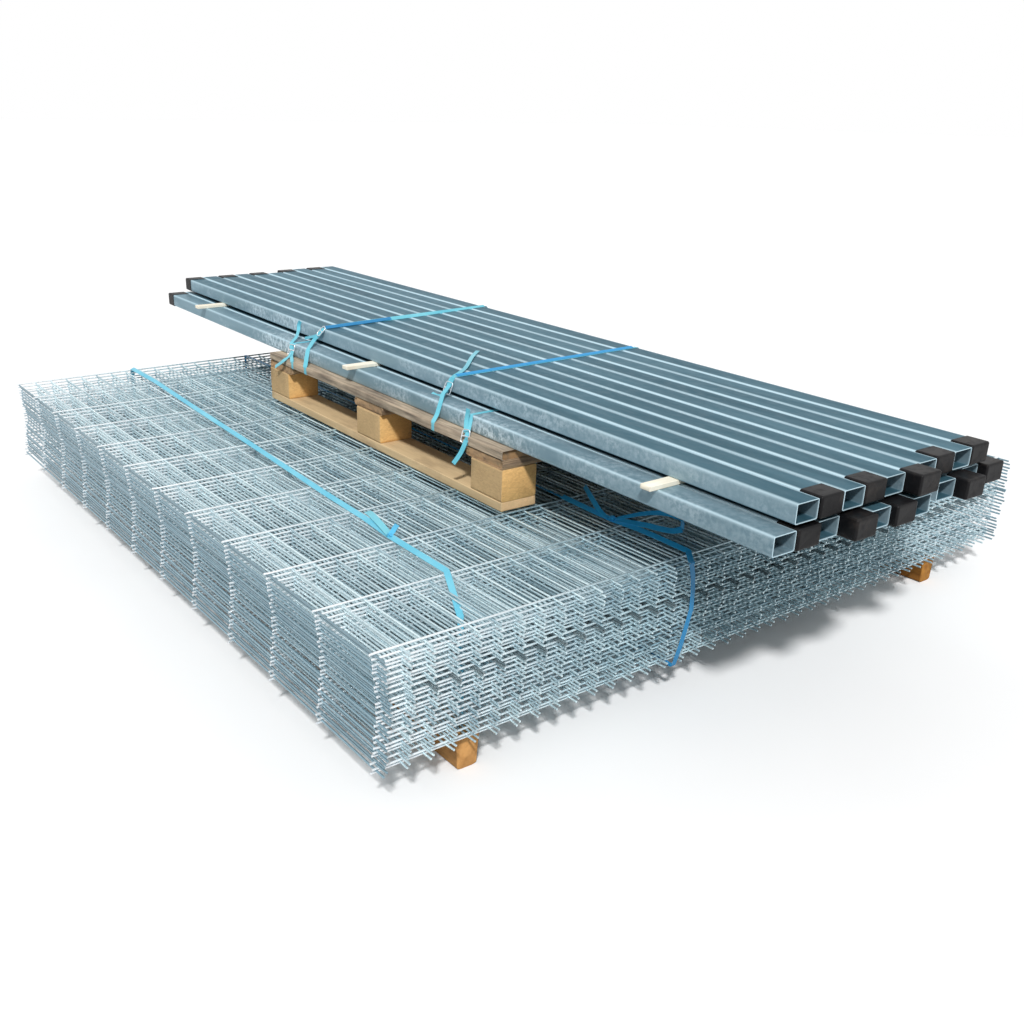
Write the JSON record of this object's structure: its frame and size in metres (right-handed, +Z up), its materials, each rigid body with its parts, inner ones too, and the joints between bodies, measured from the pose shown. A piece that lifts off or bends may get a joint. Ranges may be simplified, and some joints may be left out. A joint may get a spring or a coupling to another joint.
{
  "type": "strapped pack of welded mesh fence panels and posts",
  "caption": "Strapped pack of galvanised welded mesh fence panels on timber bearers, with capped box section fence posts strapped to a pallet on top.",
  "frame": {"origin": "on the floor, under the middle of the pack's bounding box", "axes": "+X along the line wires and the posts, towards the end where the mesh has its prongs; +Y across the pack, from the near long side to the far one; +Z up"},
  "size_m": [2.9649, 2.0212, 0.5547],
  "materials": {
    "galvanised_wire": "hot-dip galvanised, dull blue-grey",
    "galvanised_post": "galvanised, smooth satin with spangle",
    "cap_plastic": "matt black moulded plastic",
    "pallet_timber": "rough sawn softwood, weathered",
    "bearer_timber": "rough sawn softwood",
    "lath_timber": "pale planed softwood",
    "band_plastic": "blue polypropylene strapping",
    "buckle_steel": "zinc-plated wire"
  },
  "bodies": {
    "root": {"mesh_panel_01": "galvanised_wire", "mesh_panel_02": "galvanised_wire", "mesh_panel_03": "galvanised_wire", "mesh_panel_04": "galvanised_wire", "mesh_panel_05": "galvanised_wire", "mesh_panel_06": "galvanised_wire", "mesh_panel_07": "galvanised_wire", "mesh_panel_08": "galvanised_wire", "mesh_panel_09": "galvanised_wire", "mesh_panel_10": "galvanised_wire", "mesh_panel_11": "galvanised_wire", "mesh_panel_12": "galvanised_wire", "mesh_panel_13": "galvanised_wire", "mesh_panel_14": "galvanised_wire", "mesh_panel_15": "galvanised_wire", "mesh_panel_16": "galvanised_wire", "mesh_panel_17": "galvanised_wire", "mesh_panel_18": "galvanised_wire", "mesh_panel_19": "galvanised_wire", "mesh_panel_20": "galvanised_wire", "mesh_panel_21": "galvanised_wire", "mesh_panel_22": "galvanised_wire", "mesh_panel_23": "galvanised_wire", "mesh_panel_24": "galvanised_wire", "mesh_panel_25": "galvanised_wire", "mesh_panel_26": "galvanised_wire", "bearer_near": "bearer_timber", "bearer_far": "bearer_timber", "pallet_runner_boards": "pallet_timber", "pallet_blocks": "pallet_timber", "pallet_cross_boards": "pallet_timber", "pallet_deck_boards": "pallet_timber", "lower_posts": "galvanised_post", "upper_posts": "galvanised_post", "lower_post_caps": "cap_plastic", "upper_post_caps": "cap_plastic", "spacer_laths": "lath_timber", "layer_band_rear": "band_plastic", "layer_band_middle": "band_plastic", "pack_band_rear": "band_plastic", "pack_band_middle": "band_plastic", "panel_band_near": "band_plastic", "panel_band_middle": "band_plastic", "band_buckles": "buckle_steel"}
  },
  "joints": []
}
